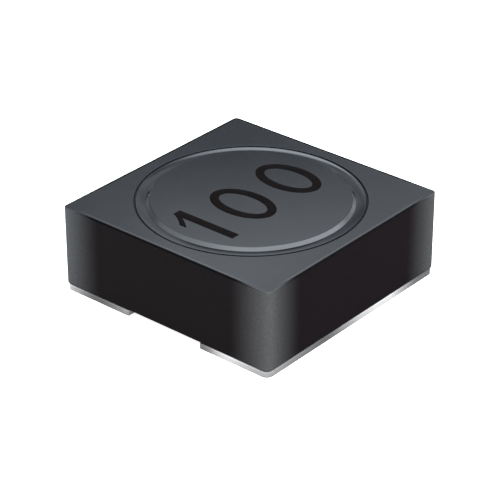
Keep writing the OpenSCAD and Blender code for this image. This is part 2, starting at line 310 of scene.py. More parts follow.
def ferrite(name, dark, light, rough0, rough1, ior, seed=0.0, grain=0.12, edge_highlight_and_band=False, dull_ring=False):
    """Ground sintered ferrite: fine grain, faint mottling and sparse pinholes. With the edge option, a face carries a
    painted highlight line a little in from its -Y and +X edges, and turns almost black, barely reflective, right along
    its edges.
    """
    m, nt, b = material(name)
    v = mm_coords(nt, offset=(seed, seed * 0.7, 0))
    fine = noise(nt, v, 9.0, 4.0, 0.6)
    broad = noise(nt, v, 0.55, 3.0, 0.5)
    tone = math_node(nt, "ADD", math_node(nt, "MULTIPLY", fine, 0.5), math_node(nt, "MULTIPLY", broad, 0.5))
    col = ramp(nt, tone, [(0.36, dark), (0.64, light)])
    vor = nt.nodes.new("ShaderNodeTexVoronoi")
    vor.feature = "F1"
    vor.inputs["Scale"].default_value = 2.4
    nt.links.new(v, vor.inputs["Vector"])
    pit = remap(nt, vor.outputs["Distance"], 0.035, 0.075, 1.0, 0.0, smooth=True)
    col = mix_colour(nt, math_node(nt, "MULTIPLY", pit, 0.45), col, tuple(c * 0.35 for c in dark))
    if edge_highlight_and_band:
        at = nt.nodes.new("ShaderNodeSeparateXYZ")
        nt.links.new(mm_coords(nt), at.inputs[0])
        fade = corner_fade(nt, at.outputs[0], at.outputs[1])
        minus = lambda q: math_node(nt, "MULTIPLY", q, -1.0)
        # distance from the -Y and +X edges, and from the +Y and -X edges, where the dark band is a little wider
        out_1 = math_node(nt, "SUBTRACT", HALF, math_node(nt, "MAXIMUM", at.outputs[0], minus(at.outputs[1])))
        out_2 = math_node(nt, "SUBTRACT", HALF, math_node(nt, "MAXIMUM", at.outputs[1], minus(at.outputs[0])))
        # painted highlight: a light line on the face, 0.085 to 0.22 mm in from the -Y and +X edges, faded out at the
        # corners
        bright = math_node(nt, "MULTIPLY", remap(nt, out_1, 0.085, 0.11, 0.0, 1.0), remap(nt, out_1, 0.15, 0.22, 1.0, 0.0))
        col = mix_colour(nt, math_node(nt, "MULTIPLY", bright, fade), col, (0.036, 0.038, 0.040))
        # almost black and barely reflective right along the edges, a little wider along +Y and -X
        dark_edge_band = math_node(nt, "MAXIMUM", remap(nt, out_1, 0.06, 0.10, 1.0, 0.0, smooth=True), remap(nt, out_2, 0.12, 0.17, 1.0, 0.0, smooth=True))
        dark_edge_band = math_node(nt, "MULTIPLY", dark_edge_band, fade)
        col = mix_colour(nt, dark_edge_band, col, (0.0010, 0.0010, 0.0010))
        nt.links.new(remap(nt, dark_edge_band, 0.0, 1.0, 0.5, 0.04), b.inputs["Specular IOR Level"])
    if dull_ring:
        # the hollow round the disc is ground less bright on two stretches, at -X and toward +X +Y
        at = nt.nodes.new("ShaderNodeSeparateXYZ")
        nt.links.new(mm_coords(nt), at.inputs[0])
        x, y = at.outputs[0], at.outputs[1]
        r2 = math_node(nt, "SQRT", math_node(nt, "ADD", math_node(nt, "MULTIPLY", x, x), math_node(nt, "MULTIPLY", y, y)))

        def toward(cx, cy, a0, a1):
            d = math_node(nt, "ADD", math_node(nt, "MULTIPLY", x, cx / 5.1), math_node(nt, "MULTIPLY", y, cy / 5.1))
            return remap(nt, d, a0, a1, 0.0, 1.0, smooth=True)

        one = math_node(nt, "MULTIPLY", toward(-0.940, -0.342, 0.80, 0.93), 0.62)
        two = math_node(nt, "MULTIPLY", math_node(nt, "MULTIPLY", toward(0.469, 0.883, 0.90, 0.97), 0.75), remap(nt, r2, 5.22, 5.34, 1.0, 0.0, smooth=True))
        # and it stays matt in the disc's foot, where the wheel does not reach, and on the disc's softened edge above that
        foot = math_node(nt, "MULTIPLY", math_node(nt, "MULTIPLY", toward(-0.643, 0.766, 0.45, 0.70), 0.9), remap(nt, r2, 5.07, 5.15, 1.0, 0.0, smooth=True))
        rim = math_node(nt, "MULTIPLY", math_node(nt, "MULTIPLY", toward(-0.643, 0.766, 0.0, 0.2), 0.9), remap(nt, r2, 4.80, 4.83, 1.0, 0.0))
        slope = math_node(nt, "MULTIPLY", math_node(nt, "MULTIPLY", toward(-0.705, -0.709, 0.84, 0.94), 0.42), remap(nt, r2, 4.95, 4.98, 1.0, 0.0))
        dull = math_node(nt, "MAXIMUM", math_node(nt, "MAXIMUM", one, two), math_node(nt, "MAXIMUM", slope, math_node(nt, "MAXIMUM", foot, rim)))
        dull = math_node(nt, "MULTIPLY", dull, remap(nt, r2, 4.735, 4.76, 0.0, 1.0))
        nt.links.new(remap(nt, dull, 0.0, 1.0, 0.5, 0.05), b.inputs["Specular IOR Level"])
        # painted sheen: on the stretch toward -Y the hollow's colour is paler
        pale = math_node(nt, "MULTIPLY", toward(-0.389, -0.921, 0.845, 0.985), remap(nt, r2, 4.96, 5.02, 0.0, 1.0, smooth=True))
        col = mix_colour(nt, pale, col, (0.032, 0.034, 0.036))
    nt.links.new(col, b.inputs["Base Color"])
    r = remap(nt, fine, 0.3, 0.7, rough0, rough1)
    nt.links.new(r, b.inputs["Roughness"])
    b.inputs["IOR"].default_value = ior
    height = math_node(nt, "SUBTRACT", math_node(nt, "MULTIPLY", fine, 0.4), math_node(nt, "MULTIPLY", pit, 0.5))
    bump(nt, b, height, grain, 0.00002)
    return m


def ferrite_side(name):
    """The pressed, unground sides: sooty black, with a painted highlight that greys them toward the upright corners and
    painted shade that darkens the +X side.
    """
    m, nt, b = material(name)
    v = mm_coords(nt)
    sep = nt.nodes.new("ShaderNodeSeparateXYZ")
    nt.links.new(v, sep.inputs[0])
    ax = math_node(nt, "ABSOLUTE", sep.outputs[0])
    ay = math_node(nt, "ABSOLUTE", sep.outputs[1])
    d = math_node(nt, "SUBTRACT", 2 * HALF, math_node(nt, "ADD", ax, ay))
    # painted highlight: the sides turn grey toward each upright corner, over about 2.2 mm
    corner_highlight_mask = math_node(nt, "POWER", remap(nt, d, 0.02, 2.25, 1.0, 0.0), 1.4)
    fine = noise(nt, v, 8.0, 4.0, 0.6)
    streak = noise(nt, mm_coords(nt, offset=(3.1, 1.7, 0.4), stretch=(1.0, 1.0, 0.12)), 2.2, 3.0, 0.55)
    grain = math_node(nt, "ADD", remap(nt, fine, 0.3, 0.7, -0.05, 0.05), remap(nt, streak, 0.3, 0.7, -0.04, 0.04))
    corner_highlight_mask = math_node(nt, "ADD", corner_highlight_mask, math_node(nt, "MULTIPLY", grain, corner_highlight_mask))
    # colour of the painted corner highlight, a little lighter on the -X half
    corner_highlight_colour = mix_colour(nt, remap(nt, sep.outputs[0], -HALF, 0.0, 0.0, 1.0), (0.090, 0.092, 0.094), (0.077, 0.076, 0.075))
    # painted shade: the black turns darker within 0.15 mm of the +X side
    black_and_right_side_shade = mix_colour(nt, remap(nt, sep.outputs[0], HALF - 0.15, HALF, 0.0, 1.0), (0.0070, 0.0054, 0.0057), (0.0050, 0.0028, 0.0035))
    col = mix_colour(nt, corner_highlight_mask, black_and_right_side_shade, corner_highlight_colour)
    # the black field is mottled a little too
    col = mix_colour(nt, remap(nt, fine, 0.35, 0.75, 0.0, 0.35), col, (0.0066, 0.0058, 0.0060))
    line = math_node(nt, "MULTIPLY", remap(nt, sep.outputs[2], TOP_Z - 0.085, TOP_Z - 0.05, 0.0, 1.0, smooth=True), corner_fade(nt, sep.outputs[0], sep.outputs[1]))
    col = mix_colour(nt, line, col, (0.0008, 0.0008, 0.0008))
    nt.links.new(col, b.inputs["Base Color"])
    nt.links.new(remap(nt, fine, 0.3, 0.7, 0.55, 0.72), b.inputs["Roughness"])
    b.inputs["Specular IOR Level"].default_value = 0.012
    bump(nt, b, fine, 0.15, 0.00002)
    return m


def tone_curve(nt, v, stops, gain):
    """A smooth curve of tone over a coordinate in millimetres from -6.25 to 6.25."""
    u = remap(nt, v, -HALF, HALF, 0.0, 1.0)
    col = ramp(nt, u, [((x + HALF) / (2 * HALF), (t / gain,) * 3) for x, t in stops])
    sep = nt.nodes.new("ShaderNodeSeparateColor")
    nt.links.new(col, sep.inputs[0])
    return math_node(nt, "MULTIPLY", sep.outputs[0], gain)


def tin(name):
    """Matt tin plate: fine rolling lines and tonal drift on the faces; on the cut edges, a painted reflection that runs
    light and dark along their length, painted shade at their foot and a painted highlight near their top.
    """
    m, nt, b = material(name)
    v = mm_coords(nt)
    sep = nt.nodes.new("ShaderNodeSeparateXYZ")
    nt.links.new(v, sep.inputs[0])
    drift = noise(nt, v, 0.45, 2.0, 0.45)
    fine = noise(nt, v, 14.0, 3.0, 0.6)
    lines = noise(nt, mm_coords(nt, stretch=(9.0, 0.35, 9.0)), 2.0, 2.0, 0.5)
    # faces
    tone = math_node(nt, "ADD", math_node(nt, "MULTIPLY", drift, 0.80),
                     math_node(nt, "ADD", math_node(nt, "MULTIPLY", fine, 0.08), math_node(nt, "MULTIPLY", lines, 0.12)))
    face = remap(nt, tone, 0.34, 0.64, 0.33, 0.42)
    # cut edges: a painted reflection, light and dark along each edge
    along = math_node(nt, "MULTIPLY", tone_curve(nt, sep.outputs[0], PAINTED_REFLECTION_X, 1.0), tone_curve(nt, sep.outputs[1], PAINTED_REFLECTION_Y, 1.0))
    up = remap(nt, sep.outputs[2], 0.0, PLATE_T, 0.0, 1.0)
    # painted shade darkens the lowest quarter of each cut edge, and a painted highlight lightens it close to the top
    foot_shade_and_top_highlight = math_node(nt, "ADD", remap(nt, up, 0.0, 0.28, 0.74, 1.0, smooth=True), remap(nt, up, 0.68, 0.92, 0.0, 0.45, smooth=True))
    edge = math_node(nt, "MULTIPLY", math_node(nt, "MULTIPLY", along, foot_shade_and_top_highlight), remap(nt, fine, 0.3, 0.7, 0.94, 1.06))
    geo = nt.nodes.new("ShaderNodeNewGeometry")
    gs = nt.nodes.new("ShaderNodeSeparateXYZ")
    nt.links.new(geo.outputs["Normal"], gs.inputs[0])
    flat = remap(nt, math_node(nt, "ABSOLUTE", gs.outputs[2]), 0.8, 0.97, 0.0, 1.0, smooth=True)
    value = math_node(nt, "ADD", math_node(nt, "MULTIPLY", face, flat), math_node(nt, "MULTIPLY", edge, math_node(nt, "SUBTRACT", 1.0, flat)))
    value = math_node(nt, "MINIMUM", value, 0.96)
    tint = nt.nodes.new("ShaderNodeCombineColor")
    nt.links.new(math_node(nt, "MULTIPLY", value, 1.03), tint.inputs[0])
    nt.links.new(value, tint.inputs[1])
    nt.links.new(math_node(nt, "MULTIPLY", value, 0.965), tint.inputs[2])
    nt.links.new(tint.outputs[0], b.inputs["Base Color"])
    b.inputs["Metallic"].default_value = 1.0
    nt.links.new(remap(nt, fine, 0.3, 0.7, 0.26, 0.42), b.inputs["Roughness"])
    bump(nt, b, math_node(nt, "ADD", math_node(nt, "MULTIPLY", fine, 0.5), math_node(nt, "MULTIPLY", lines, 0.5)), 0.10, 0.00002)
    return m


def solder_finish(name):
    m, nt, b = material(name)
    v = mm_coords(nt)
    fine = noise(nt, v, 6.0, 4.0, 0.6)
    broad = noise(nt, v, 1.2, 2.0, 0.5)
    col = ramp(nt, broad, [(0.35, (0.50, 0.50, 0.49)), (0.65, (0.80, 0.80, 0.78))])
    nt.links.new(col, b.inputs["Base Color"])
    b.inputs["Metallic"].default_value = 1.0
    nt.links.new(remap(nt, fine, 0.3, 0.7, 0.18, 0.40), b.inputs["Roughness"])
    bump(nt, b, fine, 0.25, 0.00003)
    return m


def enamel(name):
    """Copper wire under clear amber enamel."""
    m, nt, b = material(name)
    v = mm_coords(nt)
    fine = noise(nt, v, 5.0, 3.0, 0.55)
    col = ramp(nt, fine, [(0.35, (0.46, 0.135, 0.045)), (0.65, (0.66, 0.24, 0.085))])
    nt.links.new(col, b.inputs["Base Color"])
    b.inputs["Metallic"].default_value = 0.85
    nt.links.new(remap(nt, fine, 0.3, 0.7, 0.22, 0.34), b.inputs["Roughness"])
    b.inputs["Coat Weight"].default_value = 0.6
    b.inputs["Coat Roughness"].default_value = 0.12
    b.inputs["Coat Tint"].default_value = (1.0, 0.82, 0.6, 1.0)
    bump(nt, b, fine, 0.1, 0.00002)
    return m


def resin(name, dark, light, rough0, rough1):
    m, nt, b = material(name)
    v = mm_coords(nt)
    fine = noise(nt, v, 7.0, 3.0, 0.55)
    broad = noise(nt, v, 1.1, 2.0, 0.5)
    tone = math_node(nt, "ADD", math_node(nt, "MULTIPLY", fine, 0.4), math_node(nt, "MULTIPLY", broad, 0.6))
    nt.links.new(ramp(nt, tone, [(0.36, dark), (0.64, light)]), b.inputs["Base Color"])
    nt.links.new(remap(nt, fine, 0.3, 0.7, rough0, rough1), b.inputs["Roughness"])
    bump(nt, b, fine, 0.15, 0.00002)
    return m


# painted reflection along the plates' cut edges: its tone, light to dark, at points along x and along y
PAINTED_REFLECTION_X = [(-6.25, 0.78), (-5.8, 0.52), (-5.45, 0.42), (-5.1, 0.29), (-4.78, 0.22), (-4.4, 0.155), (-3.8, 0.16), (-3.3, 0.23),
          (-2.8, 0.31), (-2.4, 0.38), (0.0, 0.30), (2.2, 0.19), (2.5, 0.23), (2.8, 0.32), (3.12, 0.55), (3.46, 0.74), (3.8, 0.87),
          (4.2, 0.80), (4.85, 0.65), (5.5, 0.53), (6.25, 0.42)]
PAINTED_REFLECTION_Y = [(-6.25, 0.48), (-5.6, 0.387), (-4.45, 0.285), (-3.3, 0.197), (-2.7, 0.153), (-2.1, 0.133), (-1.5, 0.204), (-0.9, 0.332),
          (-0.26, 0.45), (0.36, 0.66), (1.0, 0.78), (1.6, 0.93), (2.9, 0.90), (3.52, 0.56), (4.16, 0.357), (4.7, 0.17), (5.4, 0.155),
          (6.25, 0.13)]

top_ferrite = ferrite("ferrite_ground_face", (0.0090, 0.0104, 0.0118), (0.0131, 0.0150, 0.0170), 0.11, 0.17, 1.7, edge_highlight_and_band=True)
drum_ferrite = ferrite("ferrite_drum_face", (0.0090, 0.0104, 0.0118), (0.0131, 0.0150, 0.0170), 0.08, 0.12, 1.7, seed=11.0, grain=0.08, dull_ring=True)
side_ferrite = ferrite_side("ferrite_pressed_side")
under_ferrite = ferrite("ferrite_underside", (0.028, 0.030, 0.032), (0.048, 0.052, 0.055), 0.34, 0.48, 1.6, seed=5.0)
tin_finish = tin("tinned_plate_finish")
solder_mat = solder_finish("solder_finish")
wire_mat = enamel("enamelled_copper_finish")
resin_mat = resin("core_resin_finish", (0.004, 0.004, 0.004), (0.012, 0.011, 0.011), 0.35, 0.55)
glue_mat = resin("plate_glue_finish", (0.10, 0.055, 0.022), (0.19, 0.115, 0.05), 0.25, 0.45)
ink_mat = resin("black_ink_finish", (0.0042, 0.0030, 0.0031), (0.0070, 0.0052, 0.0053), 0.62, 0.80)
ink_mat.node_tree.nodes["Principled BSDF"].inputs["Specular IOR Level"].default_value = 0.02


# ---------------------------------------------------------------- shield

def build_shield():
    rect = (-HALF, -HALF, HALF, HALF)
    angles = rect_angles(rect, CORNER_R, 0, 0, math.radians(1.0))
    n = len(angles)
    er, mr = 0.045, 0.005
    # (kind, offset or radius, height)
    prof = []
    for i in range(5):
        a = math.radians(90 * i / 4)
        prof.append(("o", er * (1 - math.sin(a)), BODY_Z + er * (1 - math.cos(a))))
    for i in range(5):
        a = math.radians(90 * i / 4)
        prof.append(("o", er * (1 - math.cos(a)), TOP_Z - er * (1 - math.sin(a))))
    prof.append(("o", er + 0.012, TOP_Z))
    prof.append(("b", BORE_R + mr + 0.012, TOP_Z))
    for i in range(4):
        a = math.radians(90 * i / 3)
        prof.append(("b", BORE_R + mr * (1 - math.sin(a)), TOP_Z - mr * (1 - math.cos(a))))
    for i in range(4):
        a = math.radians(90 * i / 3)
        prof.append(("b", BORE_R + mr * (1 - math.cos(a)), BODY_Z + mr * (1 - math.sin(a))))
    prof.append(("b", BORE_R + mr + 0.012, BODY_Z))
    prof.append(("o", er + 0.012, BODY_Z))
    prof = supported(prof)
    verts, loops = [], []
    for kind, q, z in prof:
        loop = []
        for ang in angles:
            if kind == "o":
                x, y = rect_ray(rect, CORNER_R, q, 0, 0, ang)
            else:
                x, y = q * math.cos(ang), q * math.sin(ang)
            loop.append(len(verts))
            verts.append((x, y, z))
        loops.append(loop)
    faces = bridge(n, loops)
    # the ground upper face and its edge, the pressed sides, and the underside with the bore
    kinds = []
    for (ka, qa, za), (kb, qb, zb) in zip(prof, prof[1:] + prof[:1]):
        mid = (za + zb) / 2
        if ka == kb == "o" and mid < TOP_Z - er * 0.55 and mid > BODY_Z + 1e-6:
            k = 1
        elif mid > TOP_Z - 0.04 or ka == kb == "b" and za != zb:
            k = 0
        else:
            k = 2
        kinds += [k] * n
    return make("shield_core_visual", verts, faces, ["shield_core"],
                [top_ferrite, side_ferrite, under_ferrite], kinds)


# ---------------------------------------------------------------- drum

def drum_profile():
    """Half section: two flanges and a post. Round the raised disc, the upper face is a shallow hollow that falls inward."""
    rim_z = TOP_Z - 0.01
    c, f = 0.1, 0.03
    p = [(0.0, BODY_Z)]
    p += arc(FLANGE_R - c, BODY_Z + c, c, -90, 0, 5)
    p += arc(FLANGE_R - f, LOW_Z - f, f, 0, 90, 3)
    p += arc(POST_R + c, LOW_Z + c, c, 270, 180, 5)
    p += arc(POST_R + c, HIGH_Z - c, c, 180, 90, 5)
    p += arc(FLANGE_R - f, HIGH_Z + f, f, 270, 360, 3)
    # rim corner
    g = 0.004
    p += arc(FLANGE_R - g, rim_z - g, g, 0, 75, 3)
    # the hollow, whose circle is centred above
    r1, r0 = FLANGE_R - g, DISC_R
    big = (r1 - r0) / (math.sin(math.radians(HOLLOW[1])) - math.sin(math.radians(HOLLOW[0])))
    cx, cz = r1 - big * math.sin(math.radians(HOLLOW[1])), rim_z + big * math.cos(math.radians(HOLLOW[1]))
    p += arc(cx, cz, big, 270 + HOLLOW[1], 270 + HOLLOW[0], 12)
    foot_z = p[-1][1]
    # the disc's sloping edge, softened where it meets the face
    t = math.radians(DISC_SLOPE)
    soft = 0.05
    bend_r = DISC_R - (DISC_Z - foot_z) / math.tan(t)
    back = soft * math.tan(t / 2)
    p += arc(bend_r - back, DISC_Z - soft, soft, 90 - DISC_SLOPE, 90, 8)
    p += [(0.0, DISC_Z)]
    return p


def lathe_mesh(name, profile, n):
    """A closed solid from a half section whose two ends lie on the axis."""
    verts, loops = [], []
    for r, z in profile[1:-1]:
        loops.append([len(verts) + i for i in range(n)])
        verts += [(r * math.cos(2 * math.pi * i / n), r * math.sin(2 * math.pi * i / n), z) for i in range(n)]
    faces = bridge(n, loops, closed=False)
    a, b = len(verts), len(verts) + 1
    verts += [(0, 0, profile[0][1]), (0, 0, profile[-1][1])]
    for i in range(n):
        j = (i + 1) % n
        faces.append((a, loops[0][j], loops[0][i]))
        faces.append((b, loops[-1][i], loops[-1][j]))
    mesh = bpy.data.meshes.new(name)
    mesh.from_pydata([(x * MM, y * MM, z * MM) for x, y, z in verts], [], faces)
    bm = bmesh.new()
    bm.from_mesh(mesh)
    bmesh.ops.remove_doubles(bm, verts=bm.verts, dist=1e-9)
    bmesh.ops.recalc_face_normals(bm, faces=bm.faces)
    bm.to_mesh(mesh)
    bm.free()
    return mesh


def build_drum():
    mesh = lathe_mesh("drum_core_visual", supported(drum_profile()), 360)
    body = bpy.data.objects.new("drum_work", mesh)
    bpy.context.scene.collection.objects.link(body)
    cutters = []
    for s in (-1, 1):
        x0, x1 = sorted((s * (POST_R - 0.03), s * (POST_R + 3.97)))
        v = [(x, y, z) for x in (x0, x1) for y in (-SLOT_W / 2, SLOT_W / 2) for z in (LOW_Z - 1.88, LOW_Z + 0.12)]
        f = [(0, 1, 3, 2), (4, 6, 7, 5), (0, 4, 5, 1), (2, 3, 7, 6), (0, 2, 6, 4), (1, 5, 7, 3)]
        cm = bpy.data.meshes.new("cutter")
        cm.from_pydata([(a * MM, b * MM, c * MM) for a, b, c in v], [], f)
        co = bpy.data.objects.new("cutter", cm)
        bpy.context.scene.collection.objects.link(co)
        mod = body.modifiers.new("slot", "BOOLEAN")
        mod.operation = "DIFFERENCE"
        mod.solver = "EXACT"
        mod.object = co
        cutters.append(co)
    bpy.context.view_layer.update()
    cut = bpy.data.meshes.new_from_object(body.evaluated_get(bpy.context.evaluated_depsgraph_get()))
    bpy.data.objects.remove(body)
    for co in cutters:
        bpy.data.objects.remove(co)
    cut.name = "drum_core_visual"
    cut.materials.clear()
    cut.materials.append(drum_ferrite)
    cut.materials.append(under_ferrite)
    split = (HIGH_Z + 0.1) * MM
    for poly in cut.polygons:
        poly.material_index = 0 if poly.center.z > split else 1
    return place("drum_core_visual", cut, ["drum_core"])


# ---------------------------------------------------------------- terminals

def plate_loops(sign):
    rect = (PLATE_X, -HALF, HALF, HALF)
    wc = ((WINDOW[0] + WINDOW[2]) / 2, 0.0)
    angles = sorted(set(rect_angles(rect, PLATE_R, wc[0], wc[1], math.radians(3.0))
                        + rect_angles(WINDOW, 0.3, wc[0], wc[1], math.radians(400.0))))
    keep = [angles[0]]
    for a in angles[1:]:
        if a - keep[-1] > 1e-4:
            keep.append(a)
    return rect, wc, keep


def build_terminal(name, node, sign):
    rect, wc, angles = plate_loops(sign)
    n = len(angles)
    e1, e2 = 0.03, 0.02         # burr side up, rolled-in side down
    prof = []
    for i in range(5):
        a = math.radians(90 * i / 4)
        prof.append(("o", e2 * (1 - math.sin(a)), e2 * (1 - math.cos(a))))
    for i in range(4):
        a = math.radians(90 * i / 3)
        prof.append(("o", e1 * (1 - math.cos(a)), PLATE_T - e1 * (1 - math.sin(a))))
    for i in range(4):
        a = math.radians(90 * i / 3)
        prof.append(("w", -e1 * (1 - math.sin(a)), PLATE_T - e1 * (1 - math.cos(a))))
    for i in range(5):
        a = math.radians(90 * i / 4)
        prof.append(("w", -e2 * (1 - math.cos(a)), e2 * (1 - math.sin(a))))
    prof.append(("w", -e2 - 0.012, 0.0))
    prof.append(("o", e2 + 0.012, 0.0))
    k = next(i for i, p in enumerate(prof) if p[0] == "w")
    prof[k:k] = [("o", e1 + 0.012, PLATE_T), ("w", -e1 - 0.012, PLATE_T)]
    prof = supported(prof)
    verts, loops = [], []
    for kind, off, z in prof:
        loop = []
        for ang in angles:
            if kind == "o":
                x, y = rect_ray(rect, PLATE_R, off, wc[0], wc[1], ang)
            else:
                x, y = rect_ray(WINDOW, 0.3, off, wc[0], wc[1], ang)
            loop.append(len(verts))
            verts.append((sign * x, sign * y, z))
        loops.append(loop)
    return make(name, verts, bridge(n, loops), [node], [tin_finish])


def build_solder(name, node, sign, wire_tip):
    """Solder in the window: a meniscus below, and a groove above in which the wire lies."""
    wc = ((WINDOW[0] + WINDOW[2]) / 2, 0.0)
    angles = rect_angles(WINDOW, 0.3, wc[0], wc[1], math.radians(3.0))
    n, rings = len(angles), 14
    edge = [rect_ray(WINDOW, 0.3, 0.004, wc[0], wc[1], a) for a in angles]
    half = ((WINDOW[2] - WINDOW[0]) / 2, (WINDOW[3] - WINDOW[1]) / 2)

    def under(x, y, s):
        # a concave fillet climbs at the window's wall, and the wire bulges through
        wire = math.exp(-(y / 0.26) ** 2) * (0.5 + 0.5 * math.tanh((wire_tip - x) / 0.12))
        rim = s ** 7
        ripple = 0.004 * math.sin(5.1 * x + 1.3 * sign) * math.cos(6.3 * y)
        return max(0.016, 0.078 - 0.042 * wire - 0.040 * rim + ripple)

    def above(x, y):
        top = solder_hi[2]
        if abs(y) < WIRE_R and x < wire_tip:
            top = min(top, 0.37 - math.sqrt(WIRE_R ** 2 - y * y) - 0.002)
        return top

    verts, lower, upper = [], [], []
    for k in range(rings):
        s = 1 - k / rings
        for store, fn in ((lower, 0), (upper, 1)):
            loop = []
            for (px, py) in edge:
                x, y = wc[0] + s * (px - wc[0]), wc[1] + s * (py - wc[1])
                z = above(x, y) if fn else under(x, y, s)
                loop.append(len(verts))
                verts.append((sign * x, sign * y, z))
            store.append(loop)
    faces = bridge(n, lower, closed=False) + bridge(n, upper, closed=False)
    faces += bridge(n, [lower[0], upper[0]], closed=False)
    a, b = len(verts), len(verts) + 1
    verts += [(sign * wc[0], 0, under(wc[0], 0, 0)), (sign * wc[0], 0, above(wc[0], 0))]
    for i in range(n):
        j = (i + 1) % n
        faces.append((a, lower[-1][j], lower[-1][i]))
        faces.append((b, upper[-1][i], upper[-1][j]))
    return make(name, verts, faces, [node], [solder_mat], smooth_angle=50)


# ---------------------------------------------------------------- winding

def build_winding():
    coil_lo = LOW_Z + WIRE_R + 0.01
    coil_hi = HIGH_Z - WIRE_R - 0.06
    rise = coil_hi - coil_lo
    turns = int(rise / (2 * WIRE_R + 0.012))
    layers, pitch, cross = 4, 0.62, 60.0
    end_z = 0.37
    bend = (coil_lo - end_z) / 2
    layer_r = [POST_R + 0.03 + WIRE_R + i * pitch for i in range(layers)]
    layer_a = turns * 360 + cross
    total = layers * turns * 360 + (layers - 1) * cross
    a_in = math.degrees(bend / layer_r[0])
    a_out = math.degrees(bend / layer_r[-1])
    tip_in, tip_out = 4.6, 3.3

    def on(r, a, z):
        return Vector((r * math.cos(math.radians(a)), r * math.sin(math.radians(a)), z))

    def coil(a):
        i = min(layers - 1, int(a // layer_a))
        b = a - i * layer_a
        r = layer_r[i]
        if b > turns * 360:
            t = (b - turns * 360) / cross
            r += pitch * t * t * (3 - 2 * t)
        s = a_in if i == 0 else 0
        t = turns * 360 - (a_out if i == layers - 1 else 0)
        k = min(1, max(0, (b - s) / (t - s)))
        z = coil_lo + rise * k if i % 2 == 0 else coil_hi - rise * k
        return on(r, a, z)

    nb = 10
    path = [Vector((tip_in, 0, end_z)), Vector((4.1, 0, end_z))]
    for i in range(nb + 1):
        a = math.radians(90 * i / nb)
        path.append(Vector((layer_r[0] + bend - bend * math.sin(a), 0, end_z + bend - bend * math.cos(a))))
    for i in range(1, nb + 1):
        a = math.radians(90 * i / nb)
        path.append(on(layer_r[0], a_in * (1 - math.cos(a)), coil_lo - bend + bend * math.sin(a)))
    a = 12.0
    while a < total - a_out - 1:
        if a > a_in + 1:
            path.append(coil(a))
        a += 6.0
    for i in range(nb, 0, -1):
        b = math.radians(90 * i / nb)
        path.append(on(layer_r[-1], total - a_out * (1 - math.cos(b)), coil_lo - bend + bend * math.sin(b)))
    for i in range(nb, -1, -1):
        b = math.radians(90 * i / nb)
        path.append(Vector((-(layer_r[-1] - bend + bend * math.sin(b)), 0, end_z + bend - bend * math.cos(b))))
    path += [Vector((-3.8, 0, end_z)), Vector((-tip_out, 0, end_z))]

    k, verts, loops = 16, [], []
    side = Vector((0, 1, 0))
    last = len(path) - 1
    for i, p in enumerate(path):
        t = (path[min(last, i + 1)] - path[max(0, i - 1)]).normalized()
        side = (side - side.dot(t) * t).normalized()
        up = t.cross(side)
        loop = []
        for j in range(k):
            b = 2 * math.pi * j / k
            loop.append(len(verts))
            verts.append(tuple(p + WIRE_R * (math.cos(b) * side + math.sin(b) * up)))
        loops.append(loop)
    faces = bridge(k, loops, closed=False)
    faces.append(tuple(loops[0]))
    faces.append(tuple(reversed(loops[-1])))
    return make("winding_visual", verts, faces, ["winding"], [wire_mat], smooth_angle=50)


# ---------------------------------------------------------------- resin in the gap

def build_resin():
    """A ring above and two arcs below, each with a concave meniscus toward the open air."""
    verts, faces = [], []

    def section(z_in, z_out, outward):
        r0, r1 = FLANGE_R, BORE_R
        pts = []
        for i in range(7):
            t = i / 6
            sag = 0.035 * (1 - (2 * t - 1) ** 2)
            pts.append((r0 + (r1 - r0) * t, z_out - outward * sag))
        pts += [(r1, z_in), (r0, z_in)]
        return pts

    def sweep(pts, a0, a1, n, closed):
        loops = []
        count = n if closed else n + 1
        for i in range(count):
            a = math.radians(a0 + (a1 - a0) * i / n)
            loop = []
            for r, z in pts:
                loop.append(len(verts))
                verts.append((r * math.cos(a), r * math.sin(a), z))
            loops.append(loop)
        faces.extend(bridge(len(pts), loops, closed=closed))
        if not closed:
            faces.append(tuple(reversed(loops[0])))
            faces.append(tuple(loops[-1]))

    sweep(section(HIGH_Z + 0.1, resin_hi[2], 1), 0, 360, 240, True)
    gap = math.degrees(math.asin((SLOT_W / 2 + 0.1) / FLANGE_R))
    for s in (0, 180):
        sweep(section(LOW_Z - 0.1, resin_lo[2], -1), s + gap, s + 180 - gap, 110, False)
    return make("core_adhesive_visual", verts, faces, ["core_adhesive"], [resin_mat])


# ---------------------------------------------------------------- printed digits

DIGIT_H = 3.6
STROKE = 0.46


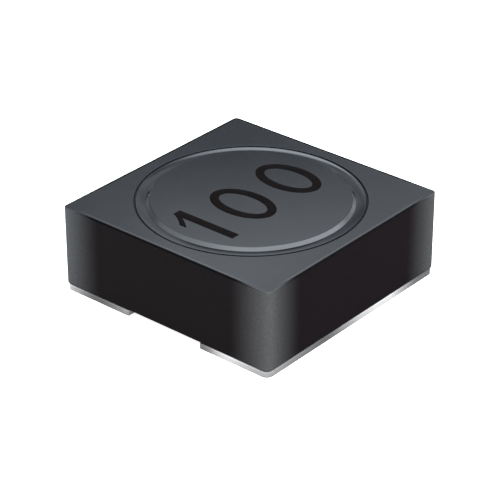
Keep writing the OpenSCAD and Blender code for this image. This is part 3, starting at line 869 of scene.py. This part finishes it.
def build_marking():
    """The same digits as the model's, with finer outlines and softly rounded ink edges."""
    verts, faces = [], []
    z0, z1, soft = DISC_Z + 0.0005, INK_Z, 0.012

    def put(u, v, z):
        # reads toward +Y, its baseline toward +X
        verts.append((0.12 - v, u, z))
        return len(verts) - 1

    def zero(cu):
        w, h = DIGIT_H * 0.65 / 2, DIGIT_H / 2
        wi, hi = w - STROKE, h - 0.95 * STROKE
        n = 120
        prof = [(w, h, z0), (w, h, z1 - soft * 0.6), (w - soft, h - soft, z1),
                (wi + soft, hi + soft, z1), (wi, hi, z1 - soft * 0.6), (wi, hi, z0)]
        loops = [[put(cu + a * math.cos(2 * math.pi * i / n), b * math.sin(2 * math.pi * i / n), z) for i in range(n)]
                 for a, b, z in prof]
        faces.extend(bridge(n, loops))

    def one(cu):
        h, s = DIGIT_H / 2, -STROKE / 2
        out = [(s, -h), (-s, -h), (-s, h), (s, h)]
        for i in range(1, 17):
            t = i / 16
            out.append((s - t * 0.6, h - 0.26 * DIGIT_H * t ** 0.7))
        for i in range(16, 0, -1):
            t = i / 16
            out.append((s - t * 0.6 + 0.02, h - 0.13 * DIGIT_H - 0.24 * DIGIT_H * t ** 0.8))
        out.append((s, h - 0.13 * DIGIT_H - 0.24 * DIGIT_H * 0.0333 ** 0.8))
        m = len(out)
        low = [put(cu + x, y, z0) for x, y in out]
        mid = [put(cu + x, y, z1 - soft * 0.6) for x, y in out]
        # inset the upper outline
        ins = []
        for i in range(m):
            ax, ay = out[i - 1]
            bx, by = out[i]
            cx, cy = out[(i + 1) % m]
            n1 = Vector((-(by - ay), bx - ax)).normalized()
            n2 = Vector((-(cy - by), cx - bx)).normalized()
            b = (n1 + n2)
            b = b / max(0.35, b.length_squared / 2) if b.length > 1e-6 else n1
            ins.append((bx + b.x * soft, by + b.y * soft))
        top = [put(cu + x, y, z1) for x, y in ins]
        faces.extend(bridge(m, [low, mid, top], closed=False))
        faces.append(tuple(top))
        faces.append(tuple(reversed(low)))

    one(-3.36)
    zero(-0.72)
    zero(2.62)
    return make("value_marking_visual", verts, faces, ["value_marking"], [ink_mat], smooth_angle=40)


build_shield()
build_drum()
build_terminal("terminal_left_visual", "terminal_left", -1)
build_terminal("terminal_right_visual", "terminal_right", 1)
build_solder("solder_joint_left_visual", "solder_joint_left", -1, 4.5)
build_solder("solder_joint_right_visual", "solder_joint_right", 1, 4.6)
build_winding()
build_resin()
build_marking()

for node in ("terminal_adhesive_left", "terminal_adhesive_right"):
    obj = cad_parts[node]
    if not obj.material_slots:
        obj.data.materials.append(glue_mat)
    for s in obj.material_slots:
        s.material = glue_mat


# ---------------------------------------------------------------- floor

def build_floor():
    m = bpy.data.materials.new("studio_floor")
    m.use_nodes = True
    nt = m.node_tree
    nt.nodes.clear()
    out = nt.nodes.new("ShaderNodeOutputMaterial")
    b = nt.nodes.new("ShaderNodeBsdfPrincipled")
    b.inputs["Base Color"].default_value = (0.86, 0.86, 0.86, 1)
    b.inputs["Roughness"].default_value = 0.9
    b.inputs["Specular IOR Level"].default_value = 0.0
    b.inputs["Emission Color"].default_value = (1, 1, 1, 1)
    b.inputs["Emission Strength"].default_value = 0.8
    # a sheet of white paper that is clear from below, so that the underside can be looked at through it
    geo = nt.nodes.new("ShaderNodeNewGeometry")
    clear = nt.nodes.new("ShaderNodeBsdfTransparent")
    sheet = nt.nodes.new("ShaderNodeMixShader")
    nt.links.new(geo.outputs["Backfacing"], sheet.inputs[0])
    nt.links.new(b.outputs["BSDF"], sheet.inputs[1])
    nt.links.new(clear.outputs["BSDF"], sheet.inputs[2])
    nt.links.new(sheet.outputs["Shader"], out.inputs["Surface"])
    mesh = bpy.data.meshes.new("floor")
    s, z = 0.6, -0.01 * MM
    mesh.from_pydata([(-s, -s, z), (s, -s, z), (s, s, z), (-s, s, z)], [], [(0, 1, 2, 3)])
    mesh.materials.append(m)
    obj = bpy.data.objects.new("floor", mesh)
    bpy.context.scene.collection.objects.link(obj)
    return obj


build_floor()


# ---------------------------------------------------------------- light

def build_world():
    """Soft studio surroundings: a big soft light high on the right, and two weak low ones, one at each side behind."""
    w = bpy.data.worlds.new("studio")
    bpy.context.scene.world = w
    w.use_nodes = True
    nt = w.node_tree
    nt.nodes.clear()
    out = nt.nodes.new("ShaderNodeOutputWorld")
    bg = nt.nodes.new("ShaderNodeBackground")
    tc = nt.nodes.new("ShaderNodeTexCoord")
    sep = nt.nodes.new("ShaderNodeSeparateXYZ")
    nt.links.new(tc.outputs["Generated"], sep.inputs[0])
    sn = lambda deg: math.sin(math.radians(deg))

    def lobe(az, el, stops, top):
        """Brightness round one direction: stops are (degrees away, value)."""
        a, e = math.radians(az), math.radians(el)
        dot = nt.nodes.new("ShaderNodeVectorMath")
        dot.operation = "DOT_PRODUCT"
        nt.links.new(tc.outputs["Generated"], dot.inputs[0])
        dot.inputs[1].default_value = (math.sin(a) * math.cos(e), -math.cos(a) * math.cos(e), math.sin(e))
        u = remap(nt, dot.outputs["Value"], -1.0, 1.0, 0.0, 1.0)
        st = sorted(((math.cos(math.radians(d)) + 1) / 2, (v / top,) * 3) for d, v in stops)
        col = ramp(nt, u, st)
        sc = nt.nodes.new("ShaderNodeSeparateColor")
        nt.links.new(col, sc.inputs[0])
        return math_node(nt, "MULTIPLY", sc.outputs[0], top)

    big = lobe(85, 60, [(0, 3.9), (30, 3.9), (39, 3.4), (57, 2.3), (75, 1.5), (90, 0.85), (102, 0.45), (115, 0.1), (150, 0.05)], 3.9)
    band = math_node(nt, "MULTIPLY", remap(nt, sep.outputs[2], sn(22), sn(36), 0.0, 1.0, smooth=True),
                     remap(nt, sep.outputs[2], sn(78), sn(83), 1.0, 0.12, smooth=True))
    total = math_node(nt, "MULTIPLY", big, band)
    # the space behind the object stays dark, as the card stands there
    back = lobe(220, 30, [(0, 0.0), (24, 0.0), (40, 1.0), (180, 1.0)], 1.0)
    right = lobe(168, 14, [(0, 1.3), (15, 1.3), (27, 0.55), (45, 0.0)], 1.3)
    left = lobe(270, 12, [(0, 0.6), (18, 0.6), (27, 0.25), (60, 0.0)], 0.6)
    low = math_node(nt, "ADD", right, left)
    total = math_node(nt, "MULTIPLY", math_node(nt, "ADD", total, low), back)
    total = math_node(nt, "ADD", total, 0.03)
    # pale below the floor, which only a view from underneath can see
    total = math_node(nt, "ADD", total, remap(nt, sep.outputs[2], -0.02, -0.06, 0.0, 0.9))
    mixed = nt.nodes.new("ShaderNodeCombineColor")
    for k, t in enumerate((0.93, 0.99, 1.06)):
        nt.links.new(math_node(nt, "MULTIPLY", total, t), mixed.inputs[k])
    nt.links.new(mixed.outputs[0], bg.inputs["Color"])
    bg.inputs["Strength"].default_value = 1.0
    nt.links.new(bg.outputs["Background"], out.inputs["Surface"])


def build_card():
    """A tall graded light card behind the object, brighter with height and brightest at its upper left."""
    width, low, high, back = 64.0, 3.0, 90.0, 80.0
    d = bpy.data.lights.new("card", "AREA")
    d.shape = "RECTANGLE"
    d.size = width * MM
    d.size_y = (high - low) * MM
    d.energy = 1.0
    d.use_nodes = True
    nt = d.node_tree
    em = next(n for n in nt.nodes if n.type == "EMISSION")
    geo = nt.nodes.new("ShaderNodeNewGeometry")
    sep = nt.nodes.new("ShaderNodeSeparateXYZ")
    nt.links.new(geo.outputs["Parametric"], sep.inputs[0])
    x = remap(nt, sep.outputs[0], 0.0, 1.0, width / 2, -width / 2)      # millimetres to the right
    h = remap(nt, sep.outputs[1], 0.0, 1.0, low, high)

    def curve(v, a, b, stops, top):
        u = remap(nt, v, a, b, 0.0, 1.0)
        col = ramp(nt, u, [((p - a) / (b - a), (q / top,) * 3) for p, q in stops])
        sc = nt.nodes.new("ShaderNodeSeparateColor")
        nt.links.new(col, sc.inputs[0])
        return math_node(nt, "MULTIPLY", sc.outputs[0], top)

    mul = lambda p, q: math_node(nt, "MULTIPLY", p, q)
    ax = math_node(nt, "ABSOLUTE", x)
    # the flat face reflects a lozenge in the middle of the card: these are heights from its lower and its upper edges
    over = math_node(nt, "SUBTRACT", h, math_node(nt, "MULTIPLY", ax, 0.45))
    under = math_node(nt, "ADD", h, math_node(nt, "MULTIPLY", ax, 0.55))
    middle = mul(curve(h, low, high, [(3, 0.0), (36, 0.0), (39, 0.05), (42.4, 0.12), (47, 0.40), (52.4, 0.80), (57, 1.0), (90, 1.0)], 1.0),
                 remap(nt, x, -32.0, 32.0, 0.6, 1.4))
    middle = mul(middle, remap(nt, under, 58.6, 60.8, 1.0, 0.08, smooth=True))
    on_right = remap(nt, x, -2.5, 2.5, 0.0, 1.0)
    foot_l = curve(over, low - 15, high, [(-12, 0.62), (20, 0.62), (30, 0.34), (36, 0.12), (39, 0.0), (90, 0.0)], 1.0)
    foot_r = curve(over, low - 15, high, [(-12, 0.62), (22, 0.62), (27, 0.42), (33, 0.32), (37, 0.25), (40, 0.0), (90, 0.0)], 1.0)
    foot = math_node(nt, "ADD", mul(foot_l, math_node(nt, "SUBTRACT", 1.0, on_right)), mul(foot_r, on_right))
    # the hollow round the disc reflects what is above it: the bright zone's lower edge drops to both sides
    crest = math_node(nt, "ADD", h, math_node(nt, "ADD", remap(nt, x, -6.5, 0.0, 9.75, 0.0), remap(nt, x, 0.0, 6.5, 0.0, 3.2)))
    upper = mul(curve(crest, low, high + 10, [(3, 0.0), (66.0, 0.0), (69.0, 2.8), (100, 2.8)], 2.8),
                curve(x, -32, 32, [(-32, 0.0), (-12, 0.1), (-8, 1.0), (0, 1.0), (4, 0.50), (8, 0.30), (12, 0.05), (32, 0.0)], 1.0))
    total = math_node(nt, "ADD", math_node(nt, "ADD", middle, foot), upper)
    # the shader's strength multiplies the light's own radiance, energy / (pi * area)
    nt.links.new(mul(total, math.pi * d.size * d.size_y), em.inputs["Strength"])
    em.inputs["Color"].default_value = (0.94, 1.0, 1.08, 1.0)
    o = bpy.data.objects.new("card", d)
    bpy.context.scene.collection.objects.link(o)
    a = math.radians(220)
    away = Vector((math.sin(a), -math.cos(a), 0))
    o.location = (away * back + Vector((0, 0, (low + high) / 2))) * MM
    o.rotation_mode = "QUATERNION"
    o.rotation_quaternion = away.to_track_quat("Z", "Y")
    o.visible_camera = False
    return o


build_world()
build_card()

scene = bpy.context.scene
scene.view_settings.view_transform = "Standard"
scene.view_settings.look = "None"
scene.view_settings.exposure = 0.0
scene.view_settings.gamma = 1.0

bpy.context.view_layer.update()
